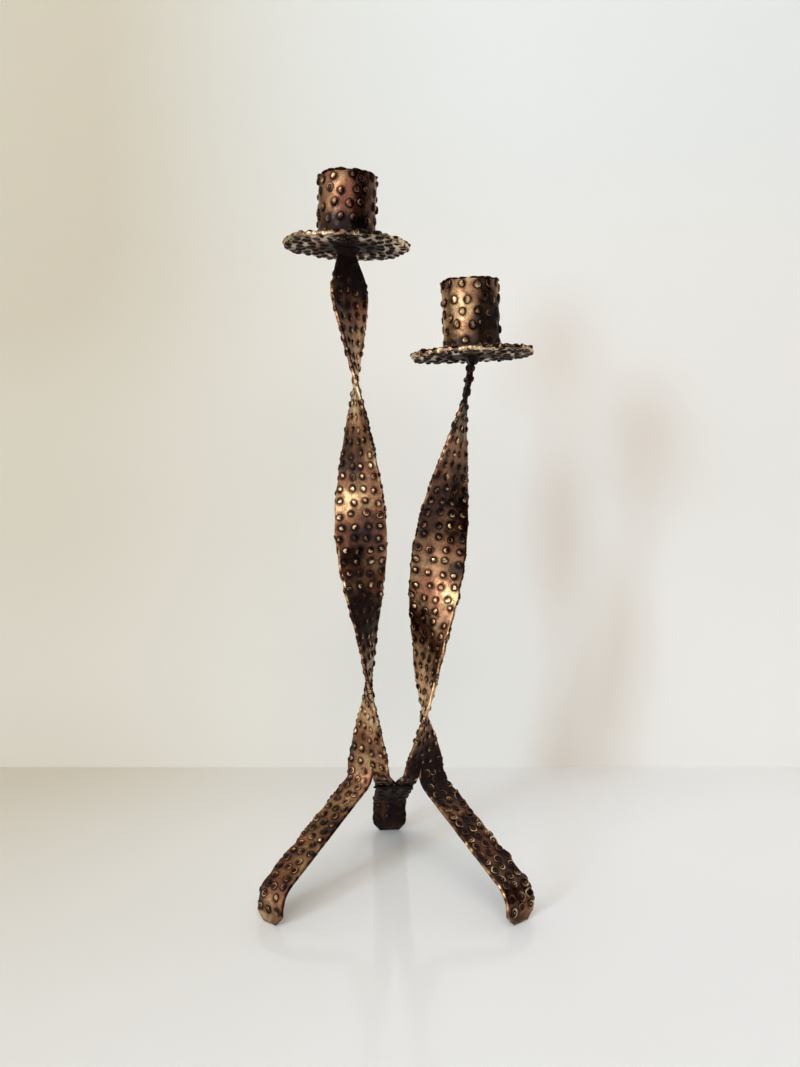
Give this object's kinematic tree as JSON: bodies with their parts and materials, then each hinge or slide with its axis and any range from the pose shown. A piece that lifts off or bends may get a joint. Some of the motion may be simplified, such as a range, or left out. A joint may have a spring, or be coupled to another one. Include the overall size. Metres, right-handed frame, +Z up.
{
  "type": "candlestick",
  "caption": "Welded metal candlestick: twisted strip stems studded with weld drops, each with a round drip pan and an open candle cup, on splayed strip legs.",
  "frame": {"origin": "on the table, under the middle of the candlestick's bounding box", "axes": "+Z up; +X to the right as the picture sees it, towards the lower cup; +Y to the back, towards the single rear leg"},
  "size_m": [0.1346, 0.1122, 0.3536],
  "materials": {
    "strip_bronze": "steel strip with a dark bronze patina, worn bright brown and gold on its drops and edges",
    "pan_bronze": "dark bronze patina, nearly black round the drops, with a worn rim",
    "cup_bronze": "brown bronze patina with golden wear and near-black hollows",
    "weld_bronze": "near-black rippled weld under the same patina"
  },
  "bodies": {
    "root": {"left_stem": "strip_bronze", "right_stem": "strip_bronze", "rear_leg": "strip_bronze", "left_drip_pan": "pan_bronze", "right_drip_pan": "pan_bronze", "left_candle_cup": "cup_bronze", "right_candle_cup": "cup_bronze", "left_cup_weld": "weld_bronze", "right_cup_weld": "weld_bronze", "left_neck_weld": "weld_bronze", "right_neck_weld": "weld_bronze", "left_tail_weld": "weld_bronze", "right_tail_weld": "weld_bronze"}
  },
  "joints": []
}
